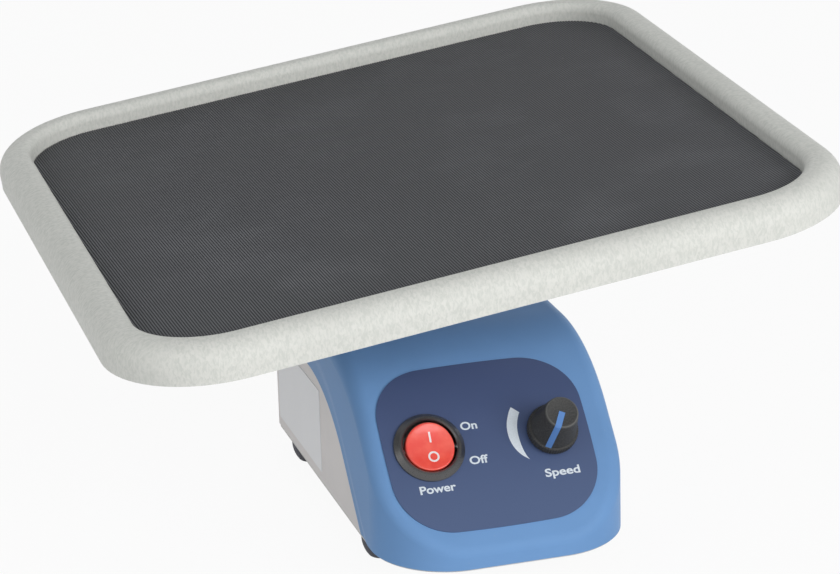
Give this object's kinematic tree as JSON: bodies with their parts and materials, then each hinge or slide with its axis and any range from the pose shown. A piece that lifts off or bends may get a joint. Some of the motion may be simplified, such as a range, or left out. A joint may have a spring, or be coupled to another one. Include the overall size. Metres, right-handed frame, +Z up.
{
  "type": "laboratory shaker",
  "caption": "Small three-dimensional laboratory shaker: a square rimmed tray with a rubber mat nutates on a tilted crank above a sloped base with a rocker switch and speed knob.",
  "frame": {"origin": "on the floor, below the middle of the whole shaker's bounding box", "axes": "+Z up, +X to the right of a person facing the control panel, +Y to the back"},
  "size_m": [0.234, 0.2354, 0.1268],
  "materials": {
    "cover_blue": "satin moulded blue",
    "body_grey": "moulded light grey",
    "plate_grey": "moulded grey",
    "overlay_navy": "printed film",
    "label_grey": "film",
    "switch_black": "satin",
    "rocker_red": "translucent red",
    "knob_black": "matte",
    "pointer_blue": "matte",
    "tray_white": "fine grain",
    "mat_rubber": "fine ribs",
    "foot_rubber": "matte",
    "belt_rubber": "matte",
    "seal_felt": "felt",
    "fork_nylon": "natural",
    "board_green": "solder mask",
    "steel": "zinc plated",
    "bearing_steel": "ground",
    "aluminium": "machined",
    "brass": "bare",
    "contact_brass": "tinned"
  },
  "bodies": {
    "base": {"base_plate": "plate_grey", "front_cover": "cover_blue", "rear_body": "body_grey", "panel_overlay": "overlay_navy", "side_label": "label_grey", "cover_screws": "steel", "rubber_feet": "foot_rubber", "foot_screws": "steel", "switch_housing": "switch_black", "switch_terminals": "contact_brass", "rocker_pin": "steel", "potentiometer": "aluminium", "potentiometer_nut": "steel", "power_inlet": "switch_black", "inlet_pin": "brass", "inlet_nut": "switch_black", "circuit_board": "board_green", "board_standoffs": "brass", "board_screws": "steel", "board_components": "knob_black", "motor": "steel", "gearbox": "aluminium", "motor_bracket": "steel", "motor_screws": "steel", "bracket_screws": "steel", "drive_belt": "belt_rubber", "bearing_housing": "aluminium", "housing_screws": "steel", "shaft_bearing_outer_rings": "bearing_steel", "shaft_seal": "seal_felt", "guide_fork": "fork_nylon", "fork_screws": "steel"},
    "rocker": {"switch_rocker": "rocker_red"},
    "knob": {"speed_knob": "knob_black", "knob_pointer": "pointer_blue", "potentiometer_shaft": "brass"},
    "motor_rotor": {"motor_shaft": "steel", "motor_pulley": "aluminium"},
    "drive": {"drive_shaft": "steel", "drive_pulley": "aluminium", "pulley_set_screw": "steel", "shaft_circlip": "steel", "shaft_bearing_inner_rings": "bearing_steel", "crank": "aluminium", "crank_set_screw": "steel", "platform_bearing_inner_ring": "bearing_steel", "retaining_washer": "steel", "retaining_screw": "steel"},
    "platform": {"platform_bearing_outer_ring": "bearing_steel", "platform_hub": "aluminium", "hub_flange": "aluminium", "guide_pin": "steel", "hub_screws": "steel", "support_plate": "aluminium", "tray_screws": "steel", "tray": "tray_white", "rubber_mat": "mat_rubber"}
  },
  "joints": [
    {"name": "drive_spin", "type": "hinge", "parent": "base", "child": "drive", "pos_m": [0.00309, 0.00084, 0], "axis": [0, 0, 1], "continuous": true},
    {"name": "platform_nutation", "type": "hinge", "parent": "drive", "child": "platform", "pos_m": [0.00309, 0.00084, 0.0771], "axis": [-0.1342, -0.0367, 0.9903], "continuous": true},
    {"name": "motor_spin", "type": "hinge", "parent": "base", "child": "motor_rotor", "pos_m": [0.00309, -0.04316, 0], "axis": [0, 0, 1], "continuous": true},
    {"name": "power_rocker", "type": "hinge", "parent": "base", "child": "rocker", "pos_m": [-0.01761, -0.08409, 0.03864], "axis": [-1, 0, 0], "range_deg": [0, 12]},
    {"name": "speed_knob_turn", "type": "hinge", "parent": "base", "child": "knob", "pos_m": [0.02179, -0.0848, 0.03933], "axis": [0, 0.7181, -0.6959], "range_deg": [0, 300]}
  ],
  "couplings": [
    {"joint": "platform_nutation", "follows": "drive_spin", "ratio": -1},
    {"joint": "motor_spin", "follows": "drive_spin", "ratio": 2}
  ]
}
